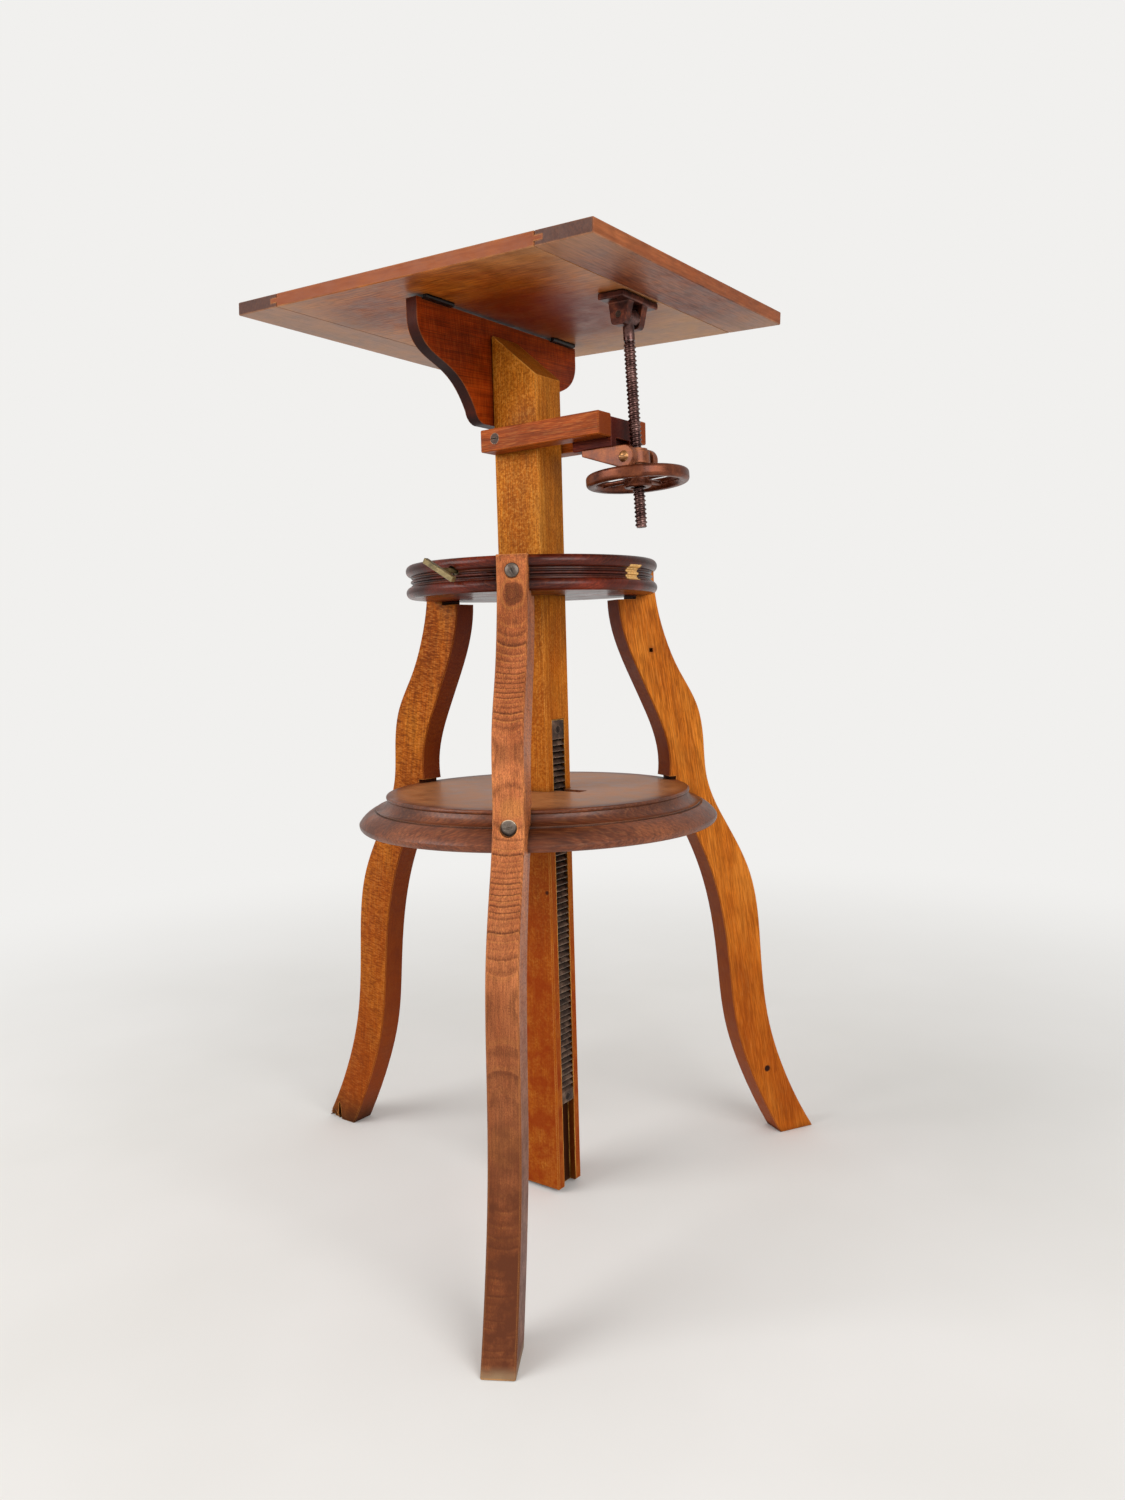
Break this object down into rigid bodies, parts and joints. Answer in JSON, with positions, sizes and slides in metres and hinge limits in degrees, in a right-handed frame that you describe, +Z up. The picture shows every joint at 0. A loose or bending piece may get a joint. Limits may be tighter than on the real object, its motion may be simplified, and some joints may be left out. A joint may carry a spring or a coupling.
{
  "type": "adjustable studio stand",
  "caption": "Wooden tripod studio stand: three shaped legs, moulded ring and shelf, column raised by an iron rack, and a hinged table tilted by a screw and handwheel.",
  "frame": {"origin": "floor level, under the centre of the overall box at rest", "axes": "+Z up; +X towards the rack and the handwheel; Y along the table's hinges"},
  "size_m": [0.5484, 0.6058, 0.9511],
  "materials": {
    "leg_wood": "worn varnish over oak",
    "column_wood": "amber varnish over beech",
    "dark_wood": "dark glossy varnish",
    "pale_wood": "bare end grain",
    "bracket_wood": "satin varnish",
    "table_wood": "satin varnish",
    "brass": "tarnished",
    "iron": "brown patina",
    "steel": "aged"
  },
  "bodies": {
    "base": {"upper_ring": "dark_wood", "ring_plug": "pale_wood", "lower_shelf": "dark_wood", "front_leg": "leg_wood", "right_leg": "leg_wood", "left_leg": "leg_wood", "ring_screws": "steel", "shelf_screws": "steel", "pawl_bracket": "iron", "pawl_pin": "steel", "pawl_bracket_screws": "steel", "clamp_bush": "brass"},
    "mast": {"column": "column_wood", "rack": "iron", "rack_screws": "steel", "bracket_board": "bracket_wood", "bracket_screws": "steel", "hinge_leaves_fixed": "steel", "hinge_pins": "steel", "hinge_screws_fixed": "steel", "front_yoke_bar": "bracket_wood", "rear_yoke_bar": "bracket_wood", "yoke_screws": "steel", "yoke_block": "dark_wood", "clevis_casting": "iron", "clevis_screws": "steel", "pivot_screws": "steel"},
    "tabletop": {"table_panel": "table_wood", "left_cleat": "table_wood", "right_cleat": "table_wood", "hinge_leaves_table": "steel", "hinge_screws_table": "steel", "table_casting": "iron", "casting_screws": "steel", "casting_pin": "steel"},
    "screw": {"tilt_screw": "steel"},
    "swivel": {"swivel_block": "iron"},
    "wheel": {"handwheel": "iron", "tilt_nut": "iron", "hub_collar": "iron"},
    "pawl_lever": {"pawl": "iron"},
    "clamp": {"clamp_screw": "brass", "clamp_bar": "brass"}
  },
  "joints": [
    {"name": "lift", "type": "slide", "parent": "base", "child": "mast", "axis": [0, 0, 1], "range_m": [0, 0.312]},
    {"name": "table_tilt", "type": "hinge", "parent": "mast", "child": "tabletop", "pos_m": [0.0422, 0, 0.9268], "axis": [0, -1, 0], "range_deg": [-9.2, 6.2]},
    {"name": "screw_lean", "type": "hinge", "parent": "tabletop", "child": "screw", "pos_m": [0.19416, 0, 0.90302], "axis": [0, -1, 0], "range_deg": [-8.2, 12]},
    {"name": "block_swivel", "type": "hinge", "parent": "mast", "child": "swivel", "pos_m": [0.2005, 0, 0.768], "axis": [0, -1, 0], "range_deg": [-2, 3]},
    {"name": "wheel_spin", "type": "hinge", "parent": "swivel", "child": "wheel", "pos_m": [0.2005, 0, 0.768], "axis": [0.0539, 0, -0.9985], "range_deg": [-1990, 1330]},
    {"name": "pawl_pivot", "type": "hinge", "parent": "base", "child": "pawl_lever", "pos_m": [0.1045, 0, 0.397], "axis": [0, 1, 0], "range_deg": [0, 16]},
    {"name": "clamp_turn", "type": "hinge", "parent": "base", "child": "clamp", "pos_m": [0.0715, -0.14, 0.663], "axis": [0, 1, 0], "range_deg": [-270, 30]}
  ],
  "couplings": [
    {"joint": "table_tilt", "follows": "wheel_spin", "ratio": 0.0045},
    {"joint": "block_swivel", "follows": "wheel_spin", "ratio": -0.00126},
    {"joint": "screw_lean", "follows": "wheel_spin", "ratio": -0.00576}
  ]
}
